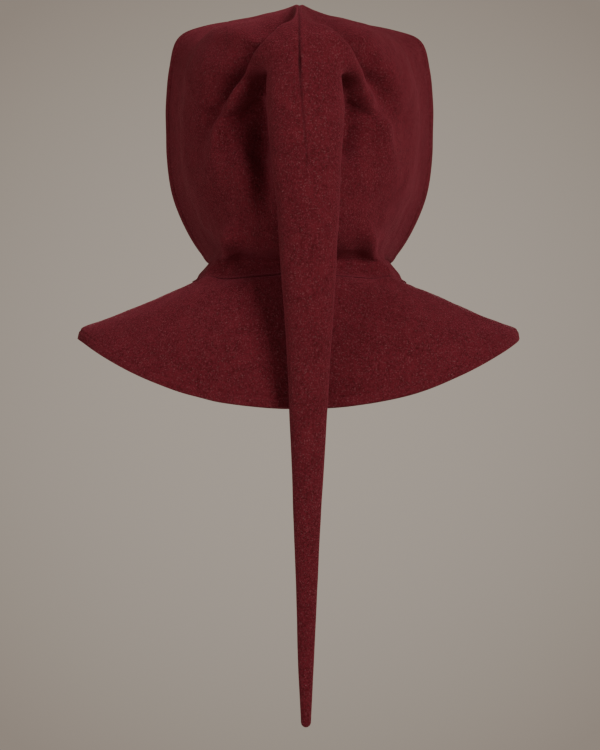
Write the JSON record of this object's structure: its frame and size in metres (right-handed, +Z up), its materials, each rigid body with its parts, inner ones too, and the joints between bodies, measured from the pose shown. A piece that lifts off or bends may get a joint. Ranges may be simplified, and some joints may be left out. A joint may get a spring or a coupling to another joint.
{
  "type": "chaperon hood",
  "caption": "Soft wool hood with an open face, a shoulder cape sewn on at the neck and a long tapering tail that hangs from the back of the crown.",
  "frame": {"origin": "at the crown of the head that holds the hood up, just under the middle of the hood's top", "axes": "+Z up; -Y is the way the face opening looks, so the tail hangs at +Y; +X is the wearer's left"},
  "size_m": [0.4206, 0.2875, 0.6667],
  "materials": {
    "wool": "matte fulled wool with a short nap"
  },
  "bodies": {
    "root": {"hood_left": "wool", "hood_right": "wool", "liripipe": "wool", "cape": "wool"}
  },
  "joints": []
}
